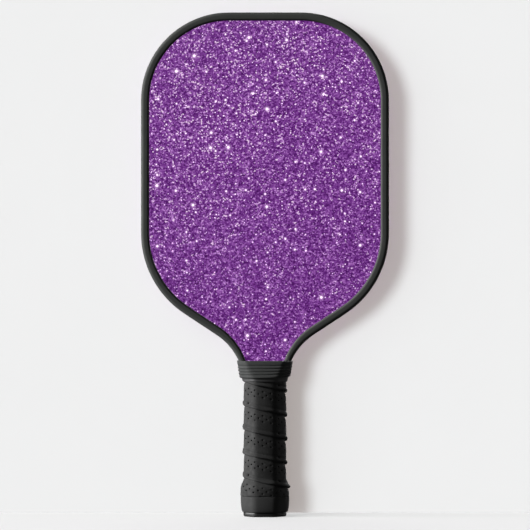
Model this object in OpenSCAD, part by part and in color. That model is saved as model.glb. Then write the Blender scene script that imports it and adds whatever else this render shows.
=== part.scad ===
// A racket-sport paddle with a honeycomb panel, a moulded edge guard and a wrapped handle.
// It stands on its butt end: +Z runs up the handle to the top of the head, +X is to the right
// and the front face looks towards -Y. The origin is the centre of the butt end.

/* [Paddle] */
// Length from the butt end to the top of the head
total_len = 406.4; // [370:0.1:490]
// Width of the head across the edge guard
head_w = 200; // [166:1:240]
// Distance from the butt end up to the collar's top edge
handle_len = 125.5; // [104:0.5:151]

/* [Head outline] */
// Radius of the top corners
corner_r = 71; // [55:1:82]
// Radius of the lower shoulders
shoulder_r = 78; // [62:1:94]
// Turn of each shoulder, from the straight side to the diagonal
shoulder_angle = 56.5; // [50:0.5:62]
// Radius of the throat curve beside the handle
throat_r = 49; // [40:1:59]
// Width across the guard where the throat curve meets the handle
neck_w = 34; // [30:0.5:41]
// Drop of the throat curve's lower end below the collar's top edge
throat_tuck = 20.2; // [17:0.2:24]

/* [Panel] */
// Thickness of the honeycomb core
core_t = 11; // [9:0.5:13.5]
// Thickness of each fibreglass face sheet
face_t = 0.6; // [0.3:0.1:1]
// Thickness of each printed film
film_t = 0.2; // [0.1:0.05:0.4]
// Distance from one honeycomb cell to the next
cell_pitch = 12; // [10:1:20]
// Thickness of the walls between the cells
cell_wall = 0.5; // [0.3:0.1:1]
// Solid border of the core, outside the cells
core_rim = 1.5; // [1:0.5:4]
// How far the printed films stay inside the panel's edge
film_margin = 2; // [1:0.5:4]
// How far the printed films run down under the collar
film_tuck = 6; // [3:0.5:10]

/* [Edge guard] */
// Width of the guard's lips over each face
lip_w = 7; // [6:0.2:10]
// Thickness of each lip
lip_t = 1.7; // [1.2:0.1:2.5]
// How far each lip's inner edge slopes back from the face
lip_slope = 0.5; // [0.2:0.1:1]
// Thickness of the guard's outer wall
web_t = 1.8; // [1.2:0.1:2.4]
// Rounding of the guard's outer corners
guard_round = 3.4; // [1:0.2:4.6]
// Thickness of the foam tape between the guard and the panel's edge
edge_tape_t = 0.9; // [0.5:0.1:1.5]
// How far the guard's two ends run down below the collar's top edge
guard_tail = 16; // [10:0.5:17]

/* [Handle] */
// Thickness of the bare handle from front to back
handle_t = 25; // [21:0.5:30]
// Width of the flat on the front and the back of the bare handle
handle_flat = 13.2; // [10:0.2:16]
// Thickness of the adhesive film under each pallet
bond_t = 0.3; // [0.1:0.1:0.6]
// How far the pallets stop short of the collar's top edge
pallet_drop = 3; // [1:0.5:5]
// Height of the slope at the pallets' upper ends
ramp_h = 10; // [6:0.5:12]
// How far the slope comes in at its top
ramp_in = 3.5; // [1:0.5:4]

/* [Grip] */
// Thickness of the foam underlay
underlay_t = 1; // [0.5:0.1:1.5]
// Thickness of the grip tape
wrap_t = 2; // [1.2:0.1:2.4]
// How far the underlay stops below the throat curve's lower end
underlay_drop = 0.2; // [0.1:0.1:3]
// How far the grip tape stops short of the collar's top edge
wrap_drop = 11.6; // [11.6:0.2:13]
// Thickness of the finishing tape at its lower edge
finish_t = 0.4; // [0.2:0.1:0.8]
// Height of the finishing tape
finish_h = 5.6; // [5:0.2:6]
// How far the finishing tape starts below the collar's top edge
finish_drop = 16.9; // [16:0.1:17.5]
// Extra spread of the finishing tape sideways, over the guard's ends
finish_spread = 1.4; // [1.2:0.1:2]

/* [Collar] */
// Height of the collar
collar_h = 13.5; // [10:0.5:15]
// Number of ribs round the collar
rib_count = 5; // [3:1:7]
// Depth of the grooves between the ribs
rib_depth = 0.6; // [0.3:0.1:1]
// Height of each groove
groove_h = 0.5; // [0.3:0.1:0.8]
// Rubber outside the guard at the collar's upper corners
collar_cover = 0.8; // [0.6:0.1:2]
// Rubber outside the finishing tape at the collar's lower edge
collar_grip = 1.6; // [1.2:0.1:2.5]
// Thickness of the collar's top edge from front to back
collar_top_t = 27; // [25:0.5:32]

/* [Butt] */
// Thickness of the base plate
plate_t = 3.5; // [2.5:0.5:5]
// How far the base plate stands out from the bare handle
plate_out = 3.3; // [2:0.1:4]
// How far the butt cap's bell stands out from the bare handle
bell_out = 5.5; // [5:0.1:7]
// Height of the grip tape's lower edge above the butt end
bell_h = 16.4; // [14:0.2:19]
// How far the cap's skirt stands out from the bare handle
skirt_out = 3.8; // [3:0.1:4.2]
// Height of the skirt's upright part
skirt_h = 7; // [6:0.5:9]
// Height of the skirt's tapered part
skirt_taper_h = 5.6; // [4:0.2:8]
// How far the skirt's thin upper edge stands out
skirt_tip = 1.2; // [1:0.1:2]
// Thickness of the cap's floor
cap_floor_t = 3; // [2:0.5:4]
// Radius of the studs that hold the base plate
stud_r = 2.4; // [1.5:0.1:3]
// Distance between the two studs
stud_gap = 15; // [12:0.5:18]

/* [Fasteners] */
// Radius of a cap tack's shank
tack_r = 0.8; // [0.5:0.1:1]
// Radius of a cap tack's head
tack_head_r = 1.5; // [1.2:0.1:1.6]
// Thickness of a cap tack's head
tack_head_t = 0.6; // [0.4:0.1:1]
// Length of a cap tack's shank
tack_len = 7.5; // [6:0.5:9]
// Distance between the two tacks on one side
tack_gap = 8; // [6:0.5:10]
// Width of the staple's crown
staple_w = 8; // [6:0.5:10]
// Thickness of the staple's wire
staple_t = 0.6; // [0.4:0.1:0.8]
// Length of the staple's legs
staple_len = 3; // [2:0.5:3.5]

/* [Hidden] */
$fn = 96;

fit_gap = 0.05;       // clearance between pieces that seat on each other
panel_gap = 0.15;     // clearance round the panel, more than the sag of the foam tape's flats
cut = 1;              // how far a cut runs past what it cuts
slice_t = 0.1;        // thickness of the thin slices that a blend runs between
bend_steps = 14;      // short stretches that make up each bend of the edge guard
guard_facets = 4;     // flats round each outer corner of the edge guard
front = -1;           // side factors: the front face looks towards -Y
back = 1;

// Panel thickness from the middle outwards
core_y = core_t / 2;
face_y = core_y + face_t;
film_y = face_y + film_t;
slot_y = film_y + fit_gap;
guard_y = slot_y + lip_t;
pallet_y = face_y + bond_t;
panel_inset = web_t + edge_tape_t + panel_gap;

// Head outline: heights and centres of the arcs
throat_z = handle_len - throat_tuck;
throat_x = neck_w / 2 + throat_r;
shoulder_x = head_w / 2 - shoulder_r;
diagonal_len = (shoulder_x + shoulder_r * cos(shoulder_angle)
    - throat_x + throat_r * cos(shoulder_angle)) / sin(shoulder_angle);
shoulder_z = throat_z + (shoulder_r + throat_r) * sin(shoulder_angle)
    + diagonal_len * cos(shoulder_angle);
corner_x = head_w / 2 - corner_r;
corner_z = total_len - corner_r;
guard_end_z = handle_len - guard_tail;
throat_end_angle = asin((guard_end_z - throat_z) / throat_r);

// Handle section: the half sizes of the bare octagon
bare_x = neck_w / 2 - panel_inset;
bare_y = handle_t / 2;
flat_x = handle_flat / 2;
flat_y = face_y;
bevel_turn = atan2(bare_y - flat_y, bare_x - flat_x);
wrap_out = underlay_t + wrap_t;

// Handle heights
cap_floor_z = plate_t + cap_floor_t;
tang_z = cap_floor_z + fit_gap;
pallet_z = handle_len - pallet_drop;
skirt_z = bell_h + skirt_h;
skirt_top_z = skirt_z + skirt_taper_h;
underlay_z = throat_z - underlay_drop;
wrap_z = handle_len - wrap_drop;
finish_z = handle_len - finish_drop;
finish_out = wrap_out + finish_t;
collar_z = handle_len - collar_h;
tack_z = bell_h + 2;
staple_z = bell_h + 5;

// Bell of the butt cap: how its outline swells above the base plate
bell_low_z = plate_t + 3.3;
bell_mid_z = plate_t + 9;
bell_foot_out = plate_out + 0.3;
bell_low_out = plate_out + 1.5;

// Collar section at its lower and upper edges: half width, half depth, half flats
collar_low = spread(finish_out + collar_grip);
collar_top_x = throat_x + collar_cover
    - sqrt(throat_r * throat_r - throat_tuck * throat_tuck);
collar_top = [collar_top_x, collar_top_t / 2, collar_top_x * 0.75, guard_y];

// Section of the bare handle grown outwards by t: half sizes and half flats
function grown(t) = [bare_x + t, bare_y + t,
    flat_x + t * tan(bevel_turn / 2), flat_y + t * tan((90 - bevel_turn) / 2)];

// The same section, spread further sideways over the guard's ends
function spread(t) = grown(t) + [finish_spread, 0, finish_spread, 0];

// The eight corners of a section
function octagon(s) = [[-s[2], -s[1]], [s[2], -s[1]], [s[0], -s[3]], [s[0], s[3]],
    [s[2], s[1]], [-s[2], s[1]], [-s[0], s[3]], [-s[0], -s[3]]];

// Right-hand corners and tangent points of the head outline, inset by d
function right_side(d) = [
    [neck_w / 2 - d, tang_z],
    [neck_w / 2 - d, throat_z],
    [throat_x - (throat_r + d) * cos(shoulder_angle),
        throat_z + (throat_r + d) * sin(shoulder_angle)],
    [shoulder_x + (shoulder_r - d) * cos(shoulder_angle),
        shoulder_z - (shoulder_r - d) * sin(shoulder_angle)],
    [head_w / 2 - d, shoulder_z],
    [head_w / 2 - d, corner_z],
    [corner_x, total_len - d]
];

// The same points taken down the left-hand side
function left_side(d) = [for (i = [6:-1:0]) [-right_side(d)[i][0], right_side(d)[i][1]]];

// Stands a flat drawing upright, with its thickness from front to back
module upright() rotate([90, 0, 0]) children();

// The head and the tang as a flat shape, inset by d from the guard's outer edge
module outline(d) {
    difference() {
        union() {
            polygon(concat(right_side(d), left_side(d)));
            for (side = [-1, 1]) {
                translate([side * corner_x, corner_z]) circle(r = corner_r - d);
                translate([side * shoulder_x, shoulder_z]) circle(r = shoulder_r - d);
            }
        }
        for (side = [-1, 1]) translate([side * throat_x, throat_z]) circle(r = throat_r + d);
    }
}

// An upright sheet with the outline inset by d, from depth y0 out to y1 on one side
module sheet(side, d, y0, y1) {
    translate([0, side == front ? -y0 : y1, 0])
        upright() linear_extrude(y1 - y0) outline(d);
}

// A block of the given section, from height z0 to z1
module block(section, z0, z1) {
    translate([0, 0, z0]) linear_extrude(z1 - z0) polygon(octagon(section));
}

// A prism of the handle's section grown by t, from height z0 to z1
module prism(t, z0, z1) block(grown(t), z0, z1);

// A thin slice of the handle's section grown by t, with its lower face at height z
module slice(t, z) prism(t, z, z + slice_t);

// Places along one side of the guard from the top down: x, height and the way it faces
function side_path() = concat(
    [for (i = [0:bend_steps]) let (turn = 90 - 90 * i / bend_steps)
        [corner_x + corner_r * cos(turn), corner_z + corner_r * sin(turn), turn]],
    [for (i = [0:bend_steps]) let (turn = -shoulder_angle * i / bend_steps)
        [shoulder_x + shoulder_r * cos(turn), shoulder_z + shoulder_r * sin(turn), turn]],
    [for (i = [0:bend_steps])
        let (turn = -shoulder_angle + (shoulder_angle - throat_end_angle) * i / bend_steps)
            [throat_x - throat_r * cos(turn), throat_z - throat_r * sin(turn), turn]]
);

// The whole path, up the left-hand side, over the top and down the right-hand side
function rim_path() = let (side = side_path(), last = len(side) - 1) concat(
    [for (i = [last:-1:0]) [-side[i][0], side[i][1], 180 - side[i][2]]], side
);

// A closed profile swept along the rim. Its first measure points out of the rim.
// The ends are closed by convex pieces, each a list of the profile's points.
module sweep(profile, pieces) {
    path = rim_path();
    size = len(profile);
    last = len(path) - 1;
    polyhedron(
        points = [for (place = path, p = profile)
            [place[0] + p[0] * cos(place[2]), p[1], place[1] + p[0] * sin(place[2])]],
        faces = concat(
            pieces,
            [for (i = [0:last - 1], j = [0:size - 1]) let (k = (j + 1) % size)
                [i * size + k, i * size + j, (i + 1) * size + j, (i + 1) * size + k]],
            [for (piece = pieces) [for (j = [len(piece) - 1:-1:0]) last * size + piece[j]]]
        )
    );
}

// Points round one outer corner of the edge guard's cross-section, from its side to its face
function guard_corner(side) = [for (i = [0:guard_facets]) let (turn = 90 * i / guard_facets)
    [guard_round * (cos(turn) - 1), side * (guard_y - guard_round + guard_round * sin(turn))]];

// Cross-section of the edge guard: a channel with rounded outer corners
function guard_profile() = let (front_corner = guard_corner(front)) concat(
    [[-lip_w, slot_y], [-web_t, slot_y], [-web_t, -slot_y], [-lip_w, -slot_y]],
    [[lip_slope - lip_w, -guard_y]],
    [for (i = [guard_facets:-1:0]) front_corner[i]],
    guard_corner(back),
    [[lip_slope - lip_w, guard_y]]
);

// The same cross-section in convex pieces: a lip on each side, the web and the outer corners
function guard_pieces() = let (n = guard_facets, low = 5, high = low + n + 1) concat(
    [[2, 3, low - 1, low], [1, 2, high - 1, high], [0, 1, high + n, high + n + 1]],
    [for (i = [0:n - 1]) [2, low + i, low + i + 1]],
    [for (i = [0:n - 1]) [1, high + i, high + i + 1]]
);

// Cross-section of the foam tape in the guard's channel
function tape_profile() = let (outer = -web_t, inner = -web_t - edge_tape_t)
    [[inner, face_y], [inner, -face_y], [outer, -face_y], [outer, face_y]];

// The pallets' outer block, grown by t, with its upper end sloped in front and behind
module pallet_block(t) {
    intersection() {
        prism(t, tang_z, pallet_z + t);
        rotate([90, 0, 90]) linear_extrude(2 * neck_w, center = true) polygon([
            [-bare_y - t, tang_z], [bare_y + t, tang_z],
            [bare_y + t, pallet_z - ramp_h], [bare_y + t - ramp_in, pallet_z + t],
            [-bare_y - t + ramp_in, pallet_z + t], [-bare_y - t, pallet_z - ramp_h]
        ]);
    }
}

// Space for the guard's two ends, with a clearance: the whole width of the handle between
// them, or with an opening only the width of the guard's lips
module guard_space(opening = false) {
    intersection() {
        upright() linear_extrude(2 * (guard_y + fit_gap), center = true) difference() {
            outline(-fit_gap);
            if (opening) outline(lip_w + fit_gap);
        }
        translate([-head_w, -handle_t, guard_end_z - fit_gap])
            cube([2 * head_w, 2 * handle_t, total_len]);
    }
}

// Skirt of the butt cap, grown by t, which the grip tape runs over
module skirt(t) {
    hull() {
        slice(skirt_out + t, bell_h - slice_t);
        slice(skirt_out + t, skirt_z - slice_t);
        slice(skirt_tip + t, skirt_top_z - slice_t);
    }
}

// One tack on the front or the back, grown by t, with its head in the skirt
module tack(x, side, t) {
    translate([x, side * (bare_y + skirt_out), tack_z]) rotate([side * 90, 0, 0]) {
        translate([0, 0, -t]) cylinder(r = tack_head_r + t, h = tack_head_t + t);
        cylinder(r = tack_r + t, h = tack_len + t);
    }
}

// All the cap tacks, grown by t
module tacks(t) {
    for (side = [front, back], x = [-tack_gap / 2, tack_gap / 2]) tack(x, side, t);
}

// The staple at the back that holds the start of the grip tape, grown by t
module staple(t) {
    translate([-staple_w / 2 - t, bare_y + skirt_out - t, staple_z - t])
        cube([staple_w + 2 * t, staple_t + 2 * t, staple_t + 2 * t]);
    for (x = [-staple_w / 2, staple_w / 2 - staple_t])
        translate([x - t, bare_y + skirt_out - staple_len - t, staple_z - t])
            cube([staple_t + 2 * t, staple_len + staple_t, staple_t + 2 * t]);
}

// The two studs of the base plate, grown by t
module studs(t) {
    for (x = [-stud_gap / 2, stud_gap / 2])
        translate([x, 0, plate_t - cut]) cylinder(r = stud_r + t, h = cap_floor_t + cut - fit_gap + t);
}

// The honeycomb's cells, laid out over the whole head and handle
module cells() {
    row_gap = cell_pitch * sqrt(3) / 2;
    cell_r = (cell_pitch - cell_wall) / sqrt(3);
    rows = ceil(total_len / row_gap);
    columns = ceil(head_w / 2 / cell_pitch);
    for (j = [0:rows], i = [-columns:columns])
        translate([(i + (j % 2) / 2) * cell_pitch, j * row_gap]) rotate(30)
            circle(r = cell_r, $fn = 6);
}

// Honeycomb core of the panel, with the tang that runs down inside the handle
module honeycomb_core() color("gainsboro") {
    translate([0, core_y, 0]) upright() linear_extrude(core_t) difference() {
        outline(panel_inset);
        intersection() {
            outline(panel_inset + core_rim);
            cells();
        }
    }
}

// Fibreglass sheet on one side of the core
module face_sheet(side) color("darkkhaki") sheet(side, panel_inset, core_y, face_y);
module front_face_sheet() face_sheet(front);
module back_face_sheet() face_sheet(back);

// Printed film on one face, tucked under the guard's lips and the collar
module print_film(side) color("mediumorchid") {
    intersection() {
        sheet(side, panel_inset + film_margin, face_y, film_y);
        translate([-head_w, -guard_y, handle_len - film_tuck])
            cube([2 * head_w, 2 * guard_y, total_len]);
    }
}
module front_print_film() print_film(front);
module back_print_film() print_film(back);

// Soft channel round the head's edge
module edge_guard() color([0.19, 0.2, 0.19]) sweep(guard_profile(), guard_pieces());

// Foam tape that beds the panel's edge in the guard
module edge_foam_tape() color("lightgray") sweep(tape_profile(), [[0, 1, 2, 3]]);

// Half of the handle's core on one side of the tang
module pallet(side) color("burlywood") {
    difference() {
        pallet_block(0);
        translate([-neck_w, side == front ? -pallet_y : -neck_w, 0])
            cube([2 * neck_w, neck_w + pallet_y, total_len]);
        tacks(fit_gap);
        guard_space(opening = true);
    }
}
module front_pallet() pallet(front);
module back_pallet() pallet(back);

// Adhesive film between one pallet and the panel, planed with them and short of the guard
module bond_film(side) color("ivory") {
    intersection() {
        prism(0, tang_z, guard_end_z - fit_gap);
        translate([-neck_w, side == front ? -pallet_y : face_y, 0])
            cube([2 * neck_w, bond_t, total_len]);
    }
}
module front_bond_film() bond_film(front);
module back_bond_film() bond_film(back);

// Foam layer wound on the bare handle
module grip_underlay() color("dimgray") {
    difference() {
        prism(underlay_t, skirt_top_z, underlay_z);
        prism(fit_gap, skirt_top_z - cut, underlay_z + cut);
    }
}

// Perforated tape wound up the handle from the butt cap
module grip_tape() color([0.14, 0.14, 0.14]) {
    difference() {
        union() {
            prism(wrap_out, skirt_top_z, wrap_z);
            hull() {
                slice(bell_out, bell_h + fit_gap);
                slice(bell_out, skirt_z - slice_t);
                slice(wrap_out, skirt_top_z + wrap_t);
            }
        }
        prism(underlay_t + fit_gap, skirt_top_z - cut, wrap_z + cut);
        skirt(fit_gap);
        prism(skirt_out + fit_gap, bell_h - cut, bell_h + cut);
        staple(fit_gap);
        guard_space();
    }
}

// Tape band that holds the grip tape's upper end down over the guard's ends
module finishing_tape() color([0.1, 0.1, 0.1]) {
    difference() {
        hull() {
            slice(finish_out, finish_z);
            block(spread(finish_out), collar_z, finish_z + finish_h);
        }
        prism(wrap_out + fit_gap, finish_z - cut, wrap_z + fit_gap);
        pallet_block(fit_gap);
        guard_space();
    }
}

// Ribbed rubber band stretched over the top of the handle
module collar() color([0.2, 0.2, 0.2]) {
    rib_h = (collar_h - (rib_count - 1) * groove_h) / rib_count;
    difference() {
        union() {
            for (i = [0:rib_count - 1]) {
                share = i / (rib_count - 1);
                section = collar_low * (1 - share) + collar_top * share;
                z = collar_z + i * (rib_h + groove_h);
                block(section, z, z + rib_h);
                if (i < rib_count - 1)
                    block([for (half = section) half - rib_depth], z, z + rib_h + groove_h);
            }
        }
        block(spread(finish_out + fit_gap), collar_z - cut, finish_z + finish_h + fit_gap);
        pallet_block(fit_gap);
        guard_space();
    }
}

// Moulded cap over the lower end of the handle
module butt_cap() color([0.17, 0.17, 0.17]) {
    difference() {
        union() {
            hull() {
                slice(bell_foot_out, plate_t);
                slice(bell_low_out, bell_low_z);
                slice(bell_out, bell_mid_z);
                slice(bell_out, bell_h - slice_t);
            }
            skirt(0);
        }
        prism(fit_gap, cap_floor_z, skirt_top_z + cut);
        studs(fit_gap);
        tacks(fit_gap);
        staple(fit_gap);
    }
}

// Plate that closes the butt end, with two studs that push into the cap's floor
module base_plate() color([0.03, 0.03, 0.03]) {
    prism(plate_out, 0, plate_t);
    studs(0);
}

// Four tacks that fix the cap to the pallets
module cap_tacks() color("silver") tacks(0);

// Staple that fixes the start of the grip tape to the cap
module grip_staple() color("silver") staple(0);

honeycomb_core();
front_face_sheet();
back_face_sheet();
front_print_film();
back_print_film();
edge_guard();
edge_foam_tape();
front_pallet();
back_pallet();
front_bond_film();
back_bond_film();
grip_underlay();
grip_tape();
finishing_tape();
collar();
butt_cap();
base_plate();
cap_tacks();
grip_staple();
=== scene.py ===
"""Looks of a racket-sport paddle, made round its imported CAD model.

Sizes in the classes below are millimetres, and every mesh is made in metres in the CAD frame:
+Z runs up from the butt end to the top of the head, and the front face looks towards -Y.
"""
import logging
import math
from dataclasses import dataclass, field
from enum import Enum

import bmesh
import bpy
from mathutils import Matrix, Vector, noise


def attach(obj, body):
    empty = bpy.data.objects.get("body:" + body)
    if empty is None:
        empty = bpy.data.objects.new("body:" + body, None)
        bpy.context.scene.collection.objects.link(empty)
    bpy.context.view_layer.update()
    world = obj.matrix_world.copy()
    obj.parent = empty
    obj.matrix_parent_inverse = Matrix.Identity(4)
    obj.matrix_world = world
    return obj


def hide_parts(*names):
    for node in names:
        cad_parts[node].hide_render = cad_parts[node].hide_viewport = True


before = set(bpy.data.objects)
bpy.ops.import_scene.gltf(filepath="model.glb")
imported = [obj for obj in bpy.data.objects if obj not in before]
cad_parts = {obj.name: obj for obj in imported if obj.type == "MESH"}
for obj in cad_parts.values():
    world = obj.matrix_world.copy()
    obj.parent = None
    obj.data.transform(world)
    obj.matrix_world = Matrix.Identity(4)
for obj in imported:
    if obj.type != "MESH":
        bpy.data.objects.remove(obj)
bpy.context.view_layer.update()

BODY = "root"
MM = 0.001
LOG = logging.getLogger("paddle")

NOISE_SPAN = (0.3, 0.7)     # nearly all of a noise texture's values lie between these
TINY = 1e-9                 # keeps a division safe where two points meet

Point = tuple[float, float]
Colour = tuple[float, float, float]


# ---------------------------------------------------------------- finishes


class Grain(Enum):
    """Surface texture of a finish."""

    FINE = "fine"
    PEBBLE = "pebble"
    WEAVE = "weave"
    FOAM = "foam"
    BRUSHED = "brushed"


class Shader:
    """Lays out the nodes of one material.

    Args:
        name: The material's name.
    """

    def __init__(self, name: str) -> None:
        """Starts a material that holds a surface shader and its coordinates."""
        self.material = bpy.data.materials.new(name)
        self.material.use_nodes = True
        self.tree = self.material.node_tree
        self.surface = self.tree.nodes["Principled BSDF"]
        self.place = self.add("ShaderNodeTexCoord").outputs["Object"]

    def add(self, kind: str, inputs: dict | None = None, **settings: object) -> bpy.types.Node:
        """Adds a node.

        Args:
            kind: The node's type.
            inputs: Socket name or number to a plain value or to another node's output.
            **settings: Attributes of the node.

        Returns:
            The new node.
        """
        node = self.tree.nodes.new(kind)
        for key, value in settings.items():
            setattr(node, key, value)
        for key, value in (inputs or {}).items():
            self.feed(node.inputs[key], value)
        return node

    def feed(self, socket: bpy.types.NodeSocket, value: object) -> None:
        """Links an output to a socket, or sets the socket's own value."""
        if isinstance(value, bpy.types.NodeSocket):
            self.tree.links.new(value, socket)
        else:
            socket.default_value = value

    def set(self, **values: object) -> None:
        """Feeds the surface shader's sockets, named with underscores for spaces."""
        for key, value in values.items():
            self.feed(self.surface.inputs[key.replace("_", " ")], value)

    def math(self, operation: str, a: object, b: object = 0.0) -> bpy.types.NodeSocket:
        """Returns the result of a math node on two values."""
        return self.add("ShaderNodeMath", {0: a, 1: b}, operation=operation).outputs[0]

    def spread(self, value: object, low: float, high: float, to_low: float = 0.0,
               to_high: float = 1.0) -> bpy.types.NodeSocket:
        """Maps a value smoothly from one range to another.

        Args:
            value: The value or output to map.
            low: Start of the range it comes from.
            high: End of that range.
            to_low: Start of the range it goes to.
            to_high: End of that range.

        Returns:
            The mapped value.
        """
        node = self.add("ShaderNodeMapRange", interpolation_type="SMOOTHSTEP")
        for key, item in zip(("Value", "From Min", "From Max", "To Min", "To Max"),
                             (value, low, high, to_low, to_high)):
            self.feed(node.inputs[key], item)
        return node.outputs["Result"]

    def ramp(self, value: object, stops: list[tuple[float, Colour]]) -> bpy.types.NodeSocket:
        """Returns the colour that a value picks from a list of (position, colour) stops."""
        node = self.add("ShaderNodeValToRGB", {"Fac": value})
        points = node.color_ramp.elements
        while len(points) < len(stops):
            points.new(0.5)
        for point, (position, colour) in zip(points, stops):
            point.position = position
            point.color = (*colour, 1.0)
        return node.outputs["Color"]

    def noise(self, size: float, detail: float = 2.0, place: object = None) -> bpy.types.NodeSocket:
        """Returns noise from 0 to 1 whose lumps are about the given size in millimetres."""
        inputs = {"Vector": place or self.place, "Scale": 1.0 / (size * MM), "Detail": detail}
        return self.add("ShaderNodeTexNoise", inputs).outputs["Fac"]

    def cells(self, size: float) -> bpy.types.Node:
        """Returns a cell texture whose cells are about the given size in millimetres."""
        inputs = {"Vector": self.place, "Scale": 1.0 / (size * MM)}
        return self.add("ShaderNodeTexVoronoi", inputs)

    def flat_cells(self, size: float) -> bpy.types.Node:
        """Returns cells of about the given size, the same all through from front to back."""
        parts = self.add("ShaderNodeSeparateXYZ", {"Vector": self.place}).outputs
        place = self.add("ShaderNodeCombineXYZ", {"X": parts[0], "Y": parts[2]}).outputs[0]
        return self.add("ShaderNodeTexVoronoi", {"Vector": place, "Scale": 1.0 / (size * MM)},
                        voronoi_dimensions="2D")

    def stretched(self, x: float, y: float, z: float) -> bpy.types.NodeSocket:
        """Returns the coordinates scaled along each axis."""
        inputs = {"Vector": self.place, "Scale": (x, y, z)}
        return self.add("ShaderNodeMapping", inputs).outputs["Vector"]

    def emboss(self, height: object, depth: float) -> None:
        """Raises the surface by a height from 0 to 1, where 1 stands for depth millimetres."""
        bump = self.add("ShaderNodeBump", {"Height": height, "Distance": depth * MM, "Strength": 1.0})
        self.set(Normal=bump.outputs["Normal"])


@dataclass(frozen=True)
class Finish:
    """A mottled, textured finish.

    Args:
        name: The material's name.
        dark: Colour in the low places.
        light: Colour in the high places.
        grain: Kind of surface texture.
        grain_size: Size of one grain.
        grain_depth: Height of the grain.
        rough: Lowest and highest roughness.
        specular: Strength of the sheen seen straight on.
        metallic: 1 for metal.
        patch: Size of the patches of lighter and darker colour.
        smear: Size of the patches of smoother and rougher surface.
    """

    name: str
    dark: Colour
    light: Colour
    grain: Grain = Grain.FINE
    grain_size: float = 0.6
    grain_depth: float = 0.04
    rough: Point = (0.5, 0.7)
    specular: float = 0.4
    metallic: float = 0.0
    patch: float = 14.0
    smear: float = 3.0

    def relief(self, shader: Shader) -> bpy.types.NodeSocket:
        """Returns the height of the finish's grain, from 0 to 1."""
        if self.grain is Grain.PEBBLE:
            pebble = shader.spread(shader.cells(self.grain_size).outputs["Distance"], 0.7, 0.0)
            fine = shader.noise(self.grain_size * 0.4, 3.0)
            return shader.math("ADD", shader.math("MULTIPLY", pebble, 0.7),
                               shader.math("MULTIPLY", fine, 0.3))
        if self.grain is Grain.WEAVE:
            scale = math.pi / (self.grain_size * MM)
            parts = shader.add("ShaderNodeSeparateXYZ", {"Vector": shader.place}).outputs
            waves = [shader.math("SINE", shader.math("MULTIPLY", parts[k], scale)) for k in (0, 2)]
            return shader.spread(shader.math("MULTIPLY", waves[0], waves[1]), -1.0, 1.0)
        if self.grain is Grain.FOAM:
            return shader.spread(shader.cells(self.grain_size).outputs["Distance"], 0.0, 0.6)
        if self.grain is Grain.BRUSHED:
            return shader.noise(self.grain_size, 2.0, shader.stretched(1.0, 1.0, 0.05))
        return shader.noise(self.grain_size, 4.0)

    def make(self) -> bpy.types.Material:
        """Returns the finish's material."""
        shader = Shader(self.name)
        relief = self.relief(shader)
        patches = shader.noise(self.patch, 3.0)
        tone = shader.math("ADD", shader.math("MULTIPLY", relief, 0.5),
                           shader.math("MULTIPLY", patches, 0.5))
        colour = shader.ramp(tone, [(0.25, self.dark), (0.75, self.light)])
        shader.set(Base_Color=colour, Specular_IOR_Level=self.specular, Metallic=self.metallic,
                   Roughness=shader.spread(shader.noise(self.smear, 4.0), *NOISE_SPAN, *self.rough))
        shader.emboss(relief, self.grain_depth)
        return shader.material


@dataclass(frozen=True)
class Sparkle:
    """One layer of bright specks in the glitter.

    Args:
        spacing: Distance between the places where a speck may be.
        share: Part of those places that have one.
        core: Radius of a speck's bright middle.
        halo: Radius of its soft halo, which the painted glint also takes.
        glow: Strength of the halo, in the printed colour and in the painted glint.
    """

    spacing: float
    share: float
    core: float
    halo: float
    glow: float


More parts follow.
